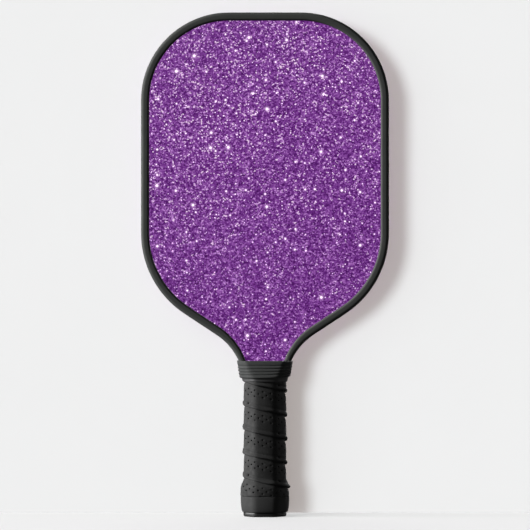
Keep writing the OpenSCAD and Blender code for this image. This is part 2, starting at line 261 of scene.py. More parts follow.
@dataclass(frozen=True)
class Glitter:
    """Glitter print under a satin lacquer, its brightest specks given a painted glint.

    Args:
        name: The material's name.
        grains: Size of the flecks and of their clumps, each with its share in the tone.
        tones: Share of the flecks up to each colour.
        shine: Colour of the specks.
        painted_glint_colour: Colour of the painted glint, an emission that makes the brightest specks
            glow as if they caught the lamp.
        layers: Layers of bright specks.
        painted_glint_strength: How strongly the brightest specks glow with that painted glint.
        lean: How far the slant of the print's slow change leans sideways.
        slant_span: Where along the slant that change starts and ends, in metres.
        tone_change: How far the tone falls and rises along the slant.
        plenty_change: How plentiful specks are at both ends of the slant.
        drift: Size of the areas that hold fewer or more specks.
        drift_change: How plentiful specks are in the poorest and richest areas.
        lacquer: Lowest and highest roughness.
        ripple: Size and depth of the unevenness of the surface.
    """

    name: str
    grains: tuple[Point, ...] = ((1.0, 0.82), (2.1, 0.18))
    tones: tuple[tuple[float, Colour], ...] = (
        (0.00, (0.060, 0.002, 0.105)), (0.16, (0.088, 0.006, 0.148)),
        (0.34, (0.145, 0.020, 0.230)), (0.52, (0.205, 0.042, 0.308)),
        (0.68, (0.290, 0.080, 0.410)), (0.80, (0.430, 0.160, 0.560)),
        (0.88, (0.680, 0.330, 0.820)), (0.94, (1.000, 0.740, 1.000)),
    )
    shine: Colour = (0.92, 0.56, 1.0)
    painted_glint_colour: Colour = (1.0, 0.88, 1.0)
    layers: tuple[Sparkle, ...] = (
        Sparkle(3.4, 0.16, 0.55, 1.0, 0.35), Sparkle(8.0, 0.17, 0.9, 2.0, 0.5),
        Sparkle(15.0, 0.22, 1.4, 3.4, 0.55),
    )
    painted_glint_strength: float = 0.85
    lean: float = 0.6
    slant_span: Point = (0.12, 0.40)
    tone_change: Point = (-0.03, 0.03)
    plenty_change: Point = (0.55, 1.30)
    drift: float = 42.0
    drift_change: Point = (0.55, 1.35)
    lacquer: Point = (0.42, 0.6)
    ripple: Point = (0.5, 0.006)

    def specks(self, shader: Shader, layer: Sparkle, plenty: bpy.types.NodeSocket,
               ) -> bpy.types.NodeSocket:
        """Returns the brightness of one layer of specks.

        Args:
            shader: The material that is being made.
            layer: The layer's sizes.
            plenty: How plentiful specks are at each place.

        Returns:
            A value from 0 to 1.
        """
        cell = shader.flat_cells(layer.spacing)
        dice = shader.add("ShaderNodeSeparateColor", {"Color": cell.outputs["Color"]}).outputs
        there = shader.math("LESS_THAN", dice[0], shader.math("MULTIPLY", plenty, layer.share))
        size = shader.spread(dice[1], 0.0, 1.0, 0.55, 1.25)
        away = shader.math("DIVIDE", shader.math("MULTIPLY", cell.outputs["Distance"], layer.spacing),
                           size)
        core = shader.spread(away, layer.core, layer.core * 0.35)
        halo = shader.math("POWER", shader.spread(away, layer.halo, 0.0), 1.6)
        light = shader.math("MAXIMUM", core, shader.math("MULTIPLY", halo, layer.glow))
        return shader.math("MULTIPLY", light, there)

    def make(self) -> bpy.types.Material:
        """Returns the glitter's material."""
        shader = Shader(self.name)
        tone = None
        for size, share in self.grains:
            colour = shader.cells(size).outputs["Color"]
            value = shader.add("ShaderNodeSeparateColor", {"Color": colour}).outputs[0]
            part = shader.math("MULTIPLY", value, share)
            tone = part if tone is None else shader.math("ADD", tone, part)
        parts = shader.add("ShaderNodeSeparateXYZ", {"Vector": shader.place}).outputs
        slant = shader.math("SUBTRACT", parts[2], shader.math("MULTIPLY", parts[0], self.lean))
        tone = shader.math("ADD", tone, shader.spread(slant, *self.slant_span, *self.tone_change))
        body = shader.ramp(tone, list(self.tones))
        drift = shader.spread(shader.noise(self.drift, 1.0), 0.35, 0.65, *self.drift_change)
        plenty = shader.math("MULTIPLY", shader.spread(slant, *self.slant_span, *self.plenty_change),
                             drift)
        light = None
        for layer in self.layers:
            found = self.specks(shader, layer, plenty)
            light = found if light is None else shader.math("MAXIMUM", light, found)
        colour = shader.add("ShaderNodeMix", data_type="RGBA")
        for key, value in ((0, light), (6, body), (7, (*self.shine, 1.0))):
            shader.feed(colour.inputs[key], value)
        # Painted glint: the brightest specks glow by emission, standing in for the lamp's glint on
        # glitter flakes.
        glow = shader.math("MULTIPLY", shader.math("POWER", light, 2.0), self.painted_glint_strength)
        shader.set(Base_Color=colour.outputs[2], Specular_IOR_Level=0.15, Coat_Weight=0.05,
                   Coat_Roughness=0.3, Emission_Color=(*self.painted_glint_colour, 1.0), Emission_Strength=glow,
                   Roughness=shader.spread(shader.noise(1.5, 2.0), *NOISE_SPAN, *self.lacquer))
        shader.emboss(shader.noise(self.ripple[0], 3.0), self.ripple[1])
        return shader.material


RUBBER = Finish("guard_rubber_matt", (0.027, 0.029, 0.0268), (0.038, 0.0398, 0.0378),
                grain_size=0.45, grain_depth=0.012, rough=(0.7, 0.85), specular=0.15)
COLLAR_RUBBER = Finish("collar_rubber_matt", (0.020, 0.021, 0.0205), (0.029, 0.030, 0.0295),
                       grain_size=0.5, grain_depth=0.015, rough=(0.7, 0.85), specular=0.15)
LEATHERETTE = Finish("grip_leatherette_grained", (0.015, 0.015, 0.015), (0.029, 0.029, 0.0285),
                     Grain.PEBBLE, 0.75, 0.05, (0.72, 0.9), 0.14)
TAPE = Finish("finishing_tape_satin", (0.018, 0.018, 0.0185), (0.028, 0.028, 0.0285),
              grain_size=0.9, grain_depth=0.03, rough=(0.45, 0.6), specular=0.3)
CAP = Finish("cap_plastic_moulded", (0.017, 0.017, 0.017), (0.024, 0.024, 0.024),
             grain_size=0.35, grain_depth=0.01, rough=(0.7, 0.82), specular=0.12)
PLATE = Finish("plate_plastic_glossy", (0.004, 0.004, 0.004), (0.008, 0.008, 0.008),
               grain_size=2.5, grain_depth=0.01, rough=(0.42, 0.5), specular=0.3)
GLITTER = Glitter("glitter_print")
FIBREGLASS = Finish("fibreglass_woven", (0.28, 0.26, 0.16), (0.42, 0.40, 0.28),
                    Grain.WEAVE, 2.2, 0.03, (0.35, 0.5), 0.5)
CORE = Finish("honeycomb_polymer", (0.62, 0.62, 0.60), (0.76, 0.76, 0.74),
              grain_size=0.8, grain_depth=0.02, rough=(0.5, 0.65))
EDGE_FOAM = Finish("edge_foam_open", (0.40, 0.40, 0.40), (0.62, 0.62, 0.62),
                   Grain.FOAM, 0.7, 0.12, (0.85, 0.95), 0.2)
PALLET_FOAM = Finish("pallet_foam_dense", (0.52, 0.38, 0.22), (0.70, 0.55, 0.36),
                     Grain.FOAM, 0.9, 0.1, (0.8, 0.92), 0.2)
BOND = Finish("bond_film_cloudy", (0.66, 0.62, 0.50), (0.80, 0.77, 0.66),
              grain_size=1.2, grain_depth=0.02, rough=(0.4, 0.55))
UNDERLAY = Finish("underlay_foam_soft", (0.06, 0.06, 0.065), (0.11, 0.11, 0.115),
                  Grain.FOAM, 0.6, 0.1, (0.85, 0.95), 0.2)
STEEL = Finish("fastener_steel_drawn", (0.48, 0.48, 0.50), (0.66, 0.66, 0.68),
               Grain.BRUSHED, 0.3, 0.01, (0.25, 0.4), 0.5, metallic=1.0)


# ---------------------------------------------------------------- shapes


CORNER_STEPS = 8            # short stretches in each rounded corner of a section
LARGEST_ROUNDING = 0.48     # share of a flat that one corner's rounding may take


@dataclass(frozen=True)
class Section:
    """Eight-sided section of the handle with rounded corners.

    Args:
        half_x: Half of the width.
        half_y: Half of the depth.
        flat_x: Half of the flat in front and behind.
        flat_y: Half of the flat at each side.
        corner_r: Radius of the corners.
        crown: How far the flats are drawn towards an oval, from 0 to 1.
    """

    half_x: float
    half_y: float
    flat_x: float
    flat_y: float
    corner_r: float
    crown: float = 0.27

    def grown(self, out: float, aside: float = 0.0) -> "Section":
        """Returns the section grown outwards all round, and further sideways by aside."""
        turn = math.atan2(self.half_y - self.flat_y, self.half_x - self.flat_x)
        return Section(self.half_x + out + aside, self.half_y + out,
                       self.flat_x + out * math.tan(turn / 2) + aside,
                       self.flat_y + out * math.tan((math.pi / 2 - turn) / 2),
                       self.corner_r + out, self.crown)

    def blend(self, other: "Section", share: float) -> "Section":
        """Returns the section that lies a share of the way to another one."""
        pairs = zip(self.sizes(), other.sizes())
        return Section(*(a + (b - a) * share for a, b in pairs))

    def sizes(self) -> tuple[float, ...]:
        """Returns the section's six sizes."""
        return (self.half_x, self.half_y, self.flat_x, self.flat_y, self.corner_r, self.crown)

    def quarter(self) -> list[Point]:
        """Returns a close row of points from the left side's middle to the front's middle."""
        corners = [(-self.half_x, 0.0), (-self.half_x, -self.flat_y),
                   (-self.flat_x, -self.half_y), (0.0, -self.half_y)]
        row = [corners[0]]
        for before, corner, after in zip(corners, corners[1:], corners[2:]):
            start = Vector(before) - Vector(corner)
            end = Vector(after) - Vector(corner)
            turn = math.pi - start.angle(end)
            reach = min(self.corner_r * math.tan(turn / 2), LARGEST_ROUNDING * start.length,
                        LARGEST_ROUNDING * end.length)
            first = Vector(corner) + start.normalized() * reach
            last = Vector(corner) + end.normalized() * reach
            for k in range(CORNER_STEPS + 1):
                t = k / CORNER_STEPS
                bent = first * (1 - t) ** 2 + Vector(corner) * 2 * t * (1 - t) + last * t ** 2
                row.append((bent.x, bent.y))
        row.append(corners[-1])
        return [self.crowned(x, y) for x, y in self.filled(row)]

    def crowned(self, x: float, y: float) -> Point:
        """Returns a point of the section drawn towards its oval."""
        pull = 1 - self.crown + self.crown / math.hypot(x / self.half_x, y / self.half_y)
        return x * pull, y * pull

    def filled(self, row: list[Point]) -> list[Point]:
        """Returns a row of points with more points along its straight stretches."""
        full = [row[0]]
        for (ax, ay), (bx, by) in zip(row, row[1:]):
            steps = max(1, math.ceil(math.dist((ax, ay), (bx, by))))
            full += [(ax + (bx - ax) * k / steps, ay + (by - ay) * k / steps)
                     for k in range(1, steps + 1)]
        return full

    def ring(self, count: int) -> list[Point]:
        """Returns evenly spaced points round the section.

        Args:
            count: Number of points, a multiple of 4.

        Returns:
            Points from the left side's middle, by way of the front, right and back.
        """
        row = self.quarter()
        reach = [0.0]
        for a, b in zip(row, row[1:]):
            reach.append(reach[-1] + math.dist(a, b))
        steps = count // 4
        quarter = []
        for k in range(steps + 1):
            goal = reach[-1] * k / steps
            i = max(i for i in range(len(row) - 1) if reach[i] <= goal + TINY)
            t = (goal - reach[i]) / max(reach[i + 1] - reach[i], TINY)
            quarter.append((row[i][0] + (row[i + 1][0] - row[i][0]) * t,
                            row[i][1] + (row[i + 1][1] - row[i][1]) * t))
        front_half = quarter + [(-x, y) for x, y in reversed(quarter[:-1])]
        return front_half + [(-x, -y) for x, y in front_half[1:-1]]


BARE = Section(14.15, 12.5, 7.3, 6.1, 2.4)


class MeshDraft:
    """Gathers the points and faces of one mesh, in millimetres.

    Args:
        name: The piece's name.
    """

    def __init__(self, name: str) -> None:
        """Starts an empty mesh."""
        self.name = name
        self.points: list[tuple[float, float, float]] = []
        self.faces: list[tuple[int, ...]] = []

    def point(self, x: float, y: float, z: float) -> int:
        """Adds a point and returns its number."""
        self.points.append((x, y, z))
        return len(self.points) - 1

    def level(self, ring: list[Point], z: float) -> list[int]:
        """Adds a flat ring of points at height z and returns their numbers."""
        return [self.point(x, y, z) for x, y in ring]

    def bridge(self, lower: list[int], upper: list[int]) -> None:
        """Joins two closed rings with a band of faces."""
        for k in range(len(lower)):
            n = (k + 1) % len(lower)
            self.faces.append((lower[k], lower[n], upper[n], upper[k]))

    def stack(self, rings: list[list[int]], ends: bool = True) -> None:
        """Joins rings one above another, and closes the two ends.

        Args:
            rings: The rings from one end to the other.
            ends: True to close both ends with a face.
        """
        for lower, upper in zip(rings, rings[1:]):
            self.bridge(lower, upper)
        if ends:
            self.faces += [tuple(reversed(rings[0])), tuple(rings[-1])]

    def build(self, finish: Finish | Glitter, slot: str, smoothing: int = 0,
              node: str | None = None) -> bpy.types.Object:
        """Makes the piece, dresses it and sets it on the frame.

        Args:
            finish: The piece's finish.
            slot: The record's material slot; not used.
            smoothing: Levels of subdivision.
            node: The CAD node that the piece stands for.

        Returns:
            The finished piece.
        """
        mesh = bpy.data.meshes.new(self.name)
        mesh.from_pydata([(x * MM, y * MM, z * MM) for x, y, z in self.points], [], self.faces)
        drawn = bmesh.new()
        drawn.from_mesh(mesh)
        bmesh.ops.recalc_face_normals(drawn, faces=drawn.faces)
        for face in drawn.faces:
            face.smooth = True
        drawn.to_mesh(mesh)
        drawn.free()
        mesh.materials.append(finish.make())
        piece = bpy.data.objects.new(self.name, mesh)
        bpy.context.scene.collection.objects.link(piece)
        if smoothing:
            divide = piece.modifiers.new("smooth", "SUBSURF")
            divide.levels = divide.render_levels = smoothing
        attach(piece, BODY)
        if node:
            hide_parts(node)
        LOG.info("%s: %d faces", self.name, len(self.faces))
        return piece


# ---------------------------------------------------------------- pieces


@dataclass
class EdgeGuard:
    """Soft channel round the head's edge, with crowned lips.

    Args:
        corner: Centre x, centre z and radius of the top corners.
        shoulder: The same of the lower shoulders.
        throat: The same of the curve into the handle.
        turn: Turn of a shoulder in degrees.
        tail: Angle on the throat curve where the guard ends, in degrees.
        lip: Width of the lips over the faces.
        neck_lip: Width of the lips beside the collar.
        slot: Half of the thickness that the channel takes.
        half: Half of the guard's thickness.
        round_in: Width of the rounding at a lip's inner edge.
        round_out: Width of the rounding at the outer edge.
        round_depth: Depth of that rounding.
        wall: Thickness of the outer wall.
        steps: Short stretches along the corner, the shoulder and the throat curve.
        narrowing: How soon the lips narrow along the throat curve.
        inner_steps: Short stretches in the rounding at a lip's inner edge.
        outer_steps: Short stretches in the rounding at the outer edge.
    """

    corner: tuple[float, float, float] = (29.0, 335.4, 71.0)
    shoulder: tuple[float, float, float] = (22.0, 228.476, 78.0)
    throat: tuple[float, float, float] = (66.0, 105.3, 49.0)
    turn: float = 56.5
    tail: float = 4.92
    lip: float = 6.7
    neck_lip: float = 5.5
    slot: float = 6.35
    half: float = 8.05
    round_in: float = 1.8
    round_out: float = 2.6
    round_depth: float = 2.5
    wall: float = 1.8
    steps: tuple[int, int, int] = (36, 28, 24)
    narrowing: float = 1.6
    inner_steps: int = 6
    outer_steps: int = 10

    def side(self) -> list[tuple[float, float, float, float]]:
        """Returns places down the right side: x, z, facing in degrees and lip width."""
        places = []
        bends = ((self.corner, 90.0, 0.0, 1), (self.shoulder, 0.0, -self.turn, 1),
                 (self.throat, -self.turn, -self.tail, -1))
        for ((cx, cz, r), first, last, way), steps in zip(bends, self.steps):
            for k in range(steps + 1):
                turn = first + (last - first) * k / steps
                narrowed = min(1.0, self.narrowing * k / steps) if way < 0 else 0.0
                lip = self.lip + (self.neck_lip - self.lip) * narrowed
                places.append((cx + way * r * math.cos(math.radians(turn)),
                               cz + way * r * math.sin(math.radians(turn)), turn, lip))
        return places

    def lip_profile(self, lip: float) -> list[Point]:
        """Returns the surface of a front lip of that width, from its inner edge outwards."""
        profile = []
        for k in range(self.inner_steps + 1):
            turn = math.radians(90 * k / self.inner_steps)
            profile.append((-lip + self.round_in * (1 - math.cos(turn)),
                            -self.slot - (self.half - self.slot) * math.sin(turn)))
        for k in range(self.outer_steps + 1):
            turn = math.radians(90 * k / self.outer_steps)
            profile.append((-self.round_out * (1 - math.sin(turn)),
                            -self.half + self.round_depth * (1 - math.cos(turn))))
        return profile

    def build(self) -> bpy.types.Object:
        """Returns the finished guard."""
        side = self.side()
        path = [(-x, z, 180 - turn, lip) for x, z, turn, lip in reversed(side)] + side
        draft = MeshDraft("edge_guard_moulded")
        rings = []
        for x, z, turn, lip in path:
            front = self.lip_profile(lip)
            profile = front + [(out, -y) for out, y in reversed(front)]
            profile += [(-self.wall, self.slot), (-self.wall, -self.slot)]
            c, s = math.cos(math.radians(turn)), math.sin(math.radians(turn))
            rings.append([draft.point(x + out * c, y, z + out * s) for out, y in profile])
        draft.stack(rings)
        return draft.build(RUBBER, "guard_rubber", node="edge_guard")


@dataclass
class GripWrap:
    """Perforated tape wound up the handle, each turn lapping over the one below.

    Args:
        pitch: Rise from one turn to the next.
        columns: Steps in one turn.
        seam_z: Height of a seam at the middle of the left side.
        out: How far the tape's surface stands out from the bare handle.
        flare: How far it stands out over the butt cap.
        flare_z: Heights where the flare ends and where the plain grip starts.
        low_z: Height of the tape's lower edge.
        high_z: Height of its upper edge.
        edge: How far the tape's cut edge turns in.
        hole_r: Radius of a perforation.
        hole_depth: Depth of a perforation.
        profile: Width across the tape and height over its surface, from the lower edge up.
        hole_rows: Numbers of the profile rows where a row of perforations starts.
        hole_rings: Share of the radius and of the depth at each ring of a perforation.
        stray_hole: How far a perforation strays along and across the tape.
        mean_r: Mean radius of the wound handle.
        first: Number of the first column.
        spare: How far the winding runs on below the butt end before it is trimmed.
        wobble: How far the lower edge wanders.
        lump: Height of the lumps all over the tape.
        fold: Height of the stretch creases beside the lower edge.
    """

    pitch: float = 19.3
    columns: int = 64
    seam_z: float = 109.4
    out: float = 3.0
    flare: float = 5.5
    flare_z: Point = (22.4, 31.5)
    low_z: float = 16.5
    high_z: float = 113.6
    edge: float = 1.3
    hole_r: float = 0.68
    hole_depth: float = 1.0
    profile: tuple[Point, ...] = (
        (1.7, -1.75), (0.4, -1.5), (0.0, -0.6), (0.12, 0.45), (0.65, 1.05), (1.45, 1.15),
        (2.5, 0.6), (3.5, -0.2), (4.5, 0.28), (6.0, 0.16), (7.6, 0.05),
        (9.25, 0.02), (10.45, 0.0), (11.65, -0.02), (12.85, -0.05), (14.05, -0.1),
        (15.25, -0.18), (16.45, -0.34), (17.6, -0.66), (18.5, -1.05), (19.4, -1.4), (21.2, -1.55),
    )
    hole_rows: tuple[int, ...] = (6, 11, 13, 15)
    hole_rings: tuple[Point, ...] = ((1.25, 0.02), (1.0, 0.14), (0.92, 0.45), (0.8, 1.0))
    stray_hole: Point = (0.22, 0.3)
    mean_r: float = 16.8
    first: int = -28
    spare: float = 8.0
    wobble: float = 0.9
    lump: float = 0.14
    fold: float = 0.42

    def __post_init__(self) -> None:
        """Works out the grip's ring of places and the directions they face."""
        self.ring = BARE.grown(self.out).ring(self.columns)
        self.facing = []
        for k in range(self.columns):
            before, after = self.ring[k - 1], self.ring[(k + 1) % self.columns]
            along = Vector((after[0] - before[0], after[1] - before[1])).normalized()
            self.facing.append((along.y, -along.x))
        self.last = 2 * math.ceil((self.seam_z + self.spare) / self.pitch * self.columns / 2)

    def surface(self, column: float, across: float, rise: float) -> tuple[float, float, float]:
        """Returns a place on the wound tape.

        Args:
            column: Steps along the tape, which may fall between two columns.
            across: Distance up from the tape's lower edge.
            rise: Height over the grip's plain surface.

        Returns:
            The place in millimetres.
        """
        stray = noise.noise(Vector((column * 0.13, 2.9, 0.0)))
        z = self.seam_z - self.pitch * column / self.columns + across
        z += self.wobble * stray * max(0.0, 1.0 - across / 6.0)
        flare = min(max((z - self.flare_z[0]) / (self.flare_z[1] - self.flare_z[0]), 0.0), 1.0)
        flare = 1.0 - flare * flare * (3.0 - 2.0 * flare)
        grown = rise + (self.flare - self.out) * flare
        i = math.floor(column)
        t = column - i
        ends = []
        for k in (i % self.columns, (i + 1) % self.columns):
            (x, y), (nx, ny) = self.ring[k], self.facing[k]
            ends.append((x + nx * grown, y + ny * grown))
        x = ends[0][0] * (1 - t) + ends[1][0] * t
        y = ends[0][1] * (1 - t) + ends[1][1] * t
        return x, y, z

    def rise(self, column: float, row: int) -> float:
        """Returns the tape's height at a profile row, with its stretch creases."""
        across, height = self.profile[row]
        spot = Vector((column * 0.16, across * 0.45, 3.7))
        fold = Vector((column * 0.07, across * 0.9, 9.1))
        near_edge = max(0.0, 1.0 - across / 7.0)
        return height + self.lump * noise.noise(spot) + self.fold * near_edge * noise.noise(fold)

    def is_hole(self, column: int, row: int) -> bool:
        """Tells whether the cell that starts at a column and row has a perforation."""
        if row not in self.hole_rows or column % 2:
            return False
        order = self.hole_rows.index(row)
        if order == 0:
            return column % 16 == 6 and noise.noise(Vector((column * 0.37, 1.0, 0.0))) > -0.1
        return (column // 2 + order) % 2 == 0

    def perforate(self, draft: MeshDraft, border: list[int], column: int, row: int) -> None:
        """Puts a perforation in a cell of the tape.

        Args:
            draft: The mesh.
            border: The eight points round the cell.
            column: The cell's first column.
            row: The cell's first profile row.
        """
        spots = [Vector((column * 1.7, row * 2.3, level)) for level in (5.1, 31.4)]
        middle = column + 1 + self.stray_hole[0] * noise.noise(spots[0])
        across = self.profile[row + 1][0] + self.stray_hole[1] * noise.noise(spots[1])
        height = self.rise(column + 1, row + 1)
        step = 2 * math.pi * self.mean_r / self.columns
        rings = [border]
        for radius, sink in self.hole_rings:
            ring = []
            for k in range(8):
                turn = math.radians(45 * k - 135)
                ring.append(draft.point(*self.surface(
                    middle + self.hole_r * radius * math.cos(turn) / step,
                    across + self.hole_r * radius * math.sin(turn),
                    height - self.hole_depth * sink)))
            rings.append(ring)
        draft.stack(rings, ends=False)
        draft.faces.append(tuple(rings[-1]))

    def trim(self, piece: bpy.types.Object) -> None:
        """Cuts the wound tape level at both ends and turns its lower edge in."""
        drawn = bmesh.new()
        drawn.from_mesh(piece.data)
        for z, keep_below in ((self.high_z, True), (self.low_z, False)):
            bmesh.ops.bisect_plane(
                drawn, geom=drawn.verts[:] + drawn.edges[:] + drawn.faces[:],
                plane_co=(0, 0, z * MM), plane_no=(0, 0, 1),
                clear_outer=keep_below, clear_inner=not keep_below)
        rim = [e for e in drawn.edges if e.is_boundary
               and all(abs(v.co.z - self.low_z * MM) < 1e-5 for v in e.verts)]
        made = bmesh.ops.extrude_edge_only(drawn, edges=rim)
        for v in made["geom"]:
            if isinstance(v, bmesh.types.BMVert):
                inward = Vector((v.co.x, v.co.y, 0.0)).normalized() * self.edge * MM
                v.co -= inward
        for face in drawn.faces:
            face.smooth = True
        drawn.to_mesh(piece.data)
        drawn.free()

    def build(self) -> bpy.types.Object:
        """Returns the finished wrap."""
        draft = MeshDraft("grip_tape_wound")
        known: dict[tuple[int, int], int] = {}

        def corner(column: int, row: int) -> int:
            """Returns the point at a column and row, made when it is first asked for."""
            if (column, row) not in known:
                place = self.surface(column, self.profile[row][0], self.rise(column, row))
                known[column, row] = draft.point(*place)
            return known[column, row]

        rows = len(self.profile)
        taken = set()
        for column in range(self.first, self.last, 2):
            for row in self.hole_rows:
                if self.is_hole(column, row):
                    border = [corner(column + a, row + b) for a, b in (
                        (0, 0), (1, 0), (2, 0), (2, 1), (2, 2), (1, 2), (0, 2), (0, 1))]
                    self.perforate(draft, border, column, row)
                    taken |= {(column + a, row + b) for a in (0, 1) for b in (0, 1)}
        for column in range(self.first, self.last):
            for row in range(rows - 1):
                if (column, row) not in taken:
                    draft.faces.append((corner(column, row), corner(column + 1, row),
                                        corner(column + 1, row + 1), corner(column, row + 1)))
        piece = draft.build(LEATHERETTE, "grip_leatherette", node="grip_tape")
        self.trim(piece)
        divide = piece.modifiers.new("smooth", "SUBSURF")
        divide.levels = divide.render_levels = 1
        return piece


@dataclass
class FinishingTape:
    """Thin band that holds the grip tape's upper end.

    Args:
        out: How far the band stands out from the bare handle.
        aside: Extra spread sideways at its upper edge.
        low_z: Height of its lower edge.
        full_z: Height where it has spread.
        high_z: Height of its upper edge.
        lower_edge: Height over the lower edge and rise at each ring of that edge.
        tilt: How far the band's edges wander up and down.
        width: Width of the handle under the band.
        count: Points round the band.
    """

    out: float = 3.5
    aside: float = 1.4
    low_z: float = 108.4
    full_z: float = 112.0
    high_z: float = 114.0
    lower_edge: tuple[Point, ...] = (
        (0.5, -1.2), (0.0, -1.0), (0.05, -0.1), (0.5, 0.3), (1.2, 0.2), (2.2, 0.0))
    tilt: float = 0.5
    width: float = 34.0
    count: int = 96

    def build(self) -> bpy.types.Object:
        """Returns the finished band."""
        draft = MeshDraft("finishing_tape_band")
        rings = []
        levels = [(self.low_z + up, rise) for up, rise in self.lower_edge]
        levels += [(self.full_z, 0.1), (self.high_z, 0.1), (self.high_z, -1.2)]
        for z, rise in levels:
            share = min(max((z - self.low_z) / (self.full_z - self.low_z), 0.0), 1.0)
            section = BARE.grown(self.out + rise, self.aside * share)
            ring = []
            for x, y in section.ring(self.count):
                stray = noise.noise(Vector((x * 0.09, y * 0.09, z * 0.2)))
                ring.append(draft.point(
                    x, y, z + self.tilt * (stray - x / self.width * (1.0 - share))))
            rings.append(ring)
        draft.stack(rings, ends=False)
        draft.bridge(rings[-1], rings[0])
        return draft.build(TAPE, "finishing_tape", smoothing=1, node="finishing_tape")


@dataclass
class Collar:
    """Ribbed rubber band stretched over the top of the handle.

    Args:
        low: Section at the lower edge.
        high: Section at the upper edge.
        low_z: Height of the lower edge.
        high_z: Height of the upper edge.
        ribs: Height of each rib, from the lowest up.
        rib_depth: Depth of the grooves between them.
        rib: Share of a rib's height, and how deep in the groove, at each of its rings.
        top_rib: The same at the last two rings of the topmost rib.
        lower_rim: Height over the lower edge, and inset, at each ring that turns in below.
        upper_rim: The same over the upper edge, at each ring that closes the top.
        slack: How far the lower ribs wander up and down.
        count: Points round the collar.
    """

    low: Section = BARE.grown(4.9, 1.4)
    high: Section = Section(22.7, 13.5, 16.6, 7.5, 6.0, 0.2)
    low_z: float = 112.0
    high_z: float = 125.5
    ribs: tuple[float, ...] = (2.3, 2.35, 2.45, 2.4, 4.0)
    rib_depth: float = 0.5
    rib: tuple[Point, ...] = (
        (0.03, 1.0), (0.12, 0.45), (0.30, 0.06), (0.5, 0.0), (0.70, 0.06), (0.88, 0.45), (0.97, 1.0))
    top_rib: tuple[Point, ...] = ((0.92, 0.2), (1.0, 0.75))
    lower_rim: tuple[Point, ...] = ((0.6, 2.2), (0.0, 1.6))
    upper_rim: tuple[Point, ...] = ((0.02, 1.6), (-0.1, 4.2))
    slack: float = 0.55
    count: int = 96

    def level(self, draft: MeshDraft, z: float, inset: float) -> list[int]:
        """Adds one ring of the collar.

        Args:
            draft: The mesh.
            z: Height of the ring.
            inset: How far it lies inside the collar's plain surface.

        Returns:
            The numbers of the ring's points.
        """
        share = (z - self.low_z) / (self.high_z - self.low_z)
        plain = self.low.blend(self.high, min(max(share, 0.0), 1.0) ** 0.8)
        section = Section(plain.half_x - inset, plain.half_y - inset, plain.flat_x - inset * 0.6,
                          plain.flat_y - inset * 0.5, plain.corner_r, plain.crown)
        slack = self.slack * max(0.0, 1.0 - share)
        return [draft.point(x, y, z + slack * (x / 20.0 + noise.noise(
            Vector((x * 0.08, y * 0.08, z * 0.3))))) for x, y in section.ring(self.count)]

    def build(self) -> bpy.types.Object:
        """Returns the finished collar."""
        draft = MeshDraft("collar_ribbed")
        rings = [self.level(draft, self.low_z + up, inset) for up, inset in self.lower_rim]
        for number, height in enumerate(self.ribs):
            base = self.low_z + sum(self.ribs[:number])
            rib = self.rib
            if number == len(self.ribs) - 1:
                rib = self.rib[:-len(self.top_rib)] + self.top_rib
            rings += [self.level(draft, base + share * height, sink * self.rib_depth)
                      for share, sink in rib]
        rings += [self.level(draft, self.high_z + up, inset) for up, inset in self.upper_rim]
        draft.stack(rings)
        return draft.build(COLLAR_RUBBER, "collar_rubber", smoothing=1, node="collar")


@dataclass
class ButtCap:
    """Moulded bell at the lower end of the handle.

    Args:
        levels: Height and how far each ring stands out from the bare handle.
        count: Points round the cap.
    """

    levels: tuple[Point, ...] = (
        (4.1, 2.4), (3.62, 2.9), (3.52, 3.6), (3.56, 4.1), (3.95, 4.4), (5.0, 4.72), (6.8, 5.05),
        (9.2, 5.32), (12.0, 5.46), (14.4, 5.5), (15.9, 5.48), (16.3, 5.35), (16.4, 5.1), (16.4, 3.9),
        (23.3, 3.8), (28.9, 1.3),
    )
    count: int = 96

    def build(self) -> bpy.types.Object:
        """Returns the finished cap."""
        draft = MeshDraft("butt_cap_bell")
        draft.stack([draft.level(BARE.grown(out).ring(self.count), z) for z, out in self.levels])
        return draft.build(CAP, "cap_plastic", smoothing=1, node="butt_cap")


@dataclass
class BasePlate:
    """Glossy plate that closes the butt end.

    Args:
        levels: Height and how far each ring stands out from the bare handle.
        count: Points round the plate.
    """

    levels: tuple[Point, ...] = (
        (0.0, -6.0), (0.0, 1.2), (0.04, 2.5), (0.3, 3.0), (0.8, 3.2), (1.8, 3.28), (2.9, 3.3),
        (3.25, 3.24), (3.44, 2.95), (3.5, 1.5),
    )
    count: int = 96

    def build(self) -> bpy.types.Object:
        """Returns the finished plate."""
        draft = MeshDraft("base_plate_glossy")
        draft.stack([draft.level(BARE.grown(out).ring(self.count), z) for z, out in self.levels])
        return draft.build(PLATE, "plate_plastic", smoothing=1, node="base_plate")


@dataclass
class Panel:
    """The playing panel and the inner pieces of the handle, as the CAD model has them.

    Args:
        finishes: CAD node to the finish that it takes.
    """

    finishes: dict[str, Finish | Glitter] = field(default_factory=lambda: {
        "front_print_film": GLITTER, "back_print_film": GLITTER,
        "front_face_sheet": FIBREGLASS, "back_face_sheet": FIBREGLASS,
        "honeycomb_core": CORE, "edge_foam_tape": EDGE_FOAM,
        "front_pallet": PALLET_FOAM, "back_pallet": PALLET_FOAM,
        "front_bond_film": BOND, "back_bond_film": BOND,
        "grip_underlay": UNDERLAY, "cap_tacks": STEEL, "grip_staple": STEEL,
    })

    def dress(self) -> None:
        """Gives each carried-over CAD node its finish."""
        made: dict[str, bpy.types.Material] = {}
        for name, finish in self.finishes.items():
            if finish.name not in made:
                made[finish.name] = finish.make()
            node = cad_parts[name]
            for holder in node.material_slots:
                holder.material = made[finish.name]
            LOG.info("%s: %s", name, finish.name)


# ---------------------------------------------------------------- studio


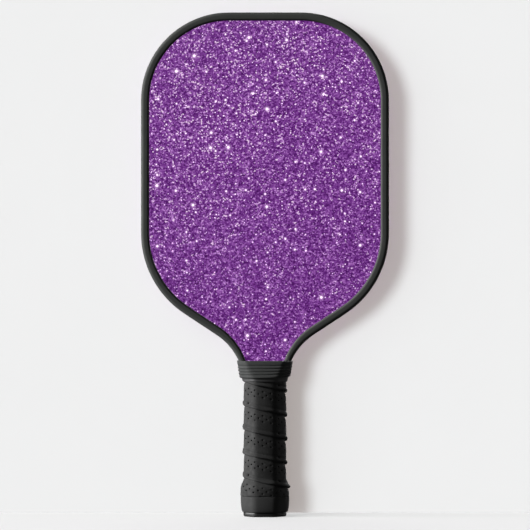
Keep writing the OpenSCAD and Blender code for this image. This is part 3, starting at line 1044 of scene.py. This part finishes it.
@dataclass(frozen=True)
class Sun:
    """A distant light.

    Args:
        name: The light's name.
        heading: Direction that the light travels in.
        power: Strength.
        softness: Apparent width in degrees.
        colour: Colour of the light.
    """

    name: str
    heading: tuple[float, float, float]
    power: float
    softness: float
    colour: Colour = (1.0, 1.0, 1.0)

    def make(self, lit: list[bpy.types.Object], blockers: list[bpy.types.Object],
             ) -> bpy.types.Object:
        """Makes the light.

        Args:
            lit: The objects that it lights.
            blockers: The objects that cast its shadows.

        Returns:
            The light.
        """
        data = bpy.data.lights.new(self.name, "SUN")
        data.energy = self.power
        data.angle = math.radians(self.softness)
        data.color = self.colour
        light = bpy.data.objects.new(self.name, data)
        bpy.context.scene.collection.objects.link(light)
        light.rotation_mode = "QUATERNION"
        light.rotation_quaternion = Vector(self.heading).to_track_quat("-Z", "Y")
        for key, members in (("receiver_collection", lit), ("blocker_collection", blockers)):
            group = bpy.data.collections.new(f"{self.name}_{key}")
            for member in members:
                group.objects.link(member)
            setattr(light.light_linking, key, group)
        return light


@dataclass
class Studio:
    """Pale backdrop and floor, soft lights and the camera.

    Args:
        backdrop: Brightness of the backdrop.
        ambient: Brightness of the light from all round.
        wall_y: Depth of the backdrop behind the paddle.
        wall_low: Height of the backdrop's lower edge.
        wall_size: Width and height of the backdrop's plane.
        wall_tone: Brightness of the backdrop's paint.
        floor_tone: Brightness of the floor's paint.
        frame_h: Height of the picture at the paddle's face.
        centre_z: Height of the picture's centre.
        face_y: Depth of the paddle's face.
        lens: Focal length of the camera.
        sensor: Width of the camera's sensor.
        cool: Colour of the light that the paddle shades on the backdrop.
        warm: Colour of the light that fills the shade.
    """

    backdrop: float = 0.871
    ambient: float = 0.12
    wall_y: float = 24.0
    wall_low: float = 0.5
    wall_size: float = 700.0
    wall_tone: float = 0.477
    floor_tone: float = 0.673
    frame_h: float = 427.3
    centre_z: float = 202.7
    face_y: float = -6.3
    lens: float = 200.0
    sensor: float = 36.0
    cool: Colour = (0.925, 1.009, 1.041)
    warm: Colour = (1.104, 0.987, 0.943)

    def world(self) -> None:
        """Makes the backdrop's plain tone and the light from all round."""
        world = bpy.data.worlds.new("studio")
        bpy.context.scene.world = world
        world.use_nodes = True
        tree = world.node_tree
        seen = tree.nodes.new("ShaderNodeLightPath").outputs["Is Camera Ray"]
        level = tree.nodes.new("ShaderNodeMapRange")
        level.inputs["To Min"].default_value = self.ambient
        level.inputs["To Max"].default_value = self.backdrop
        tree.links.new(seen, level.inputs["Value"])
        tree.links.new(level.outputs["Result"], tree.nodes["Background"].inputs["Strength"])
        tree.nodes["Background"].inputs["Color"].default_value = (1.0, 1.0, 1.0, 1.0)

    def sheet(self, name: str, corners: list[tuple[float, float, float]], tone: float,
              ) -> bpy.types.Object:
        """Makes a pale plane that is clear from behind and casts no light on the paddle.

        Args:
            name: The plane's name.
            corners: Its four corners, in a turn to the left as seen from its front.
            tone: Brightness of its surface.

        Returns:
            The plane.
        """
        mesh = bpy.data.meshes.new(name)
        mesh.from_pydata([Vector(c) * MM for c in corners], [], [(0, 1, 2, 3)])
        shader = Shader(name)
        paint = shader.ramp(shader.noise(60.0), [(0.3, (tone * 0.997,) * 3), (0.7, (tone * 1.003,) * 3)])
        shader.set(Base_Color=paint, Roughness=1.0, Specular_IOR_Level=0.0)
        clear = shader.add("ShaderNodeBsdfTransparent").outputs["BSDF"]
        behind = shader.add("ShaderNodeNewGeometry").outputs["Backfacing"]
        both = shader.add("ShaderNodeMixShader", {0: behind, 1: shader.surface.outputs["BSDF"],
                                                  2: clear})
        shader.feed(shader.tree.nodes["Material Output"].inputs["Surface"], both.outputs[0])
        mesh.materials.append(shader.material)
        plane = bpy.data.objects.new(name, mesh)
        bpy.context.scene.collection.objects.link(plane)
        plane.visible_diffuse = plane.visible_glossy = plane.visible_shadow = False
        return plane

    def camera(self) -> None:
        """Makes the camera, level with the middle of the picture."""
        data = bpy.data.cameras.new("camera")
        data.lens = self.lens
        data.sensor_width = self.sensor
        data.clip_start, data.clip_end = 0.1, 50.0
        camera = bpy.data.objects.new("camera", data)
        bpy.context.scene.collection.objects.link(camera)
        away = self.frame_h * self.lens / self.sensor
        camera.location = Vector((0.0, self.face_y - away, self.centre_z)) * MM
        camera.rotation_euler = (math.pi / 2, 0.0, 0.0)
        bpy.context.scene.camera = camera

    def build(self, parts: dict[str, bpy.types.Object]) -> None:
        """Makes the whole studio.

        Args:
            parts: The paddle's own pieces by name.
        """
        self.world()
        self.camera()
        half = self.wall_size / 2
        wall = self.sheet("backdrop", [
            (-half, self.wall_y, self.wall_low), (half, self.wall_y, self.wall_low),
            (half, self.wall_y, self.wall_size), (-half, self.wall_y, self.wall_size)],
            self.wall_tone)
        floor = self.sheet("floor", [(-half, -half, 0.0), (half, -half, 0.0),
                                     (half, half, 0.0), (-half, half, 0.0)], self.floor_tone)
        shown = [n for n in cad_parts.values() if not n.hide_render]
        paddle = list(parts.values()) + shown
        turned = [p for name, p in parts.items() if name != "edge_guard"]
        wrapped = [parts["grip_wrap"], parts["finishing_tape"]]
        others = [p for p in paddle if p not in wrapped]
        Sun("key_left", (0.943, 0.174, -0.283), 13.0, 12.0).make(others, turned)
        Sun("key_grip", (0.953, 0.112, -0.283), 13.0, 12.0).make(wrapped, turned)
        Sun("back_fill", (-0.25, -0.9, -0.36), 2.6, 30.0).make(paddle, turned)
        Sun("side_fill", (-0.8, -0.56, -0.22), 0.8, 20.0).make(paddle, turned)
        Sun("wall_key", (15.0, 26.0, -4.5), 2.73, 18.0, self.cool).make([wall], paddle)
        Sun("wall_soft", (15.0, 20.0, -4.5), 1.1, 80.0, self.cool).make([wall], paddle)
        Sun("wall_fill", (0.0, 1.0, 0.0), 2.15, 5.0, self.warm).make([wall], [wall])
        Sun("floor_key", (0.7, 0.3, -0.65), 1.7, 50.0).make([floor], paddle)
        Sun("floor_soft", (0.25, -0.8, -1.0), 0.55, 60.0).make([floor], paddle)
        Sun("floor_fill", (0.0, 0.0, -1.0), 2.16, 5.0).make([floor], [floor])
        bpy.context.scene.view_settings.view_transform = "Standard"


def main() -> None:
    """Builds the paddle and its studio in order."""
    logging.basicConfig(level=logging.INFO, format="%(name)s %(message)s")
    parts = {
        "edge_guard": EdgeGuard().build(),
        "grip_wrap": GripWrap().build(),
        "finishing_tape": FinishingTape().build(),
        "collar": Collar().build(),
        "butt_cap": ButtCap().build(),
        "base_plate": BasePlate().build(),
    }
    Panel().dress()
    Studio().build(parts)


if __name__ == "__main__":
    main()
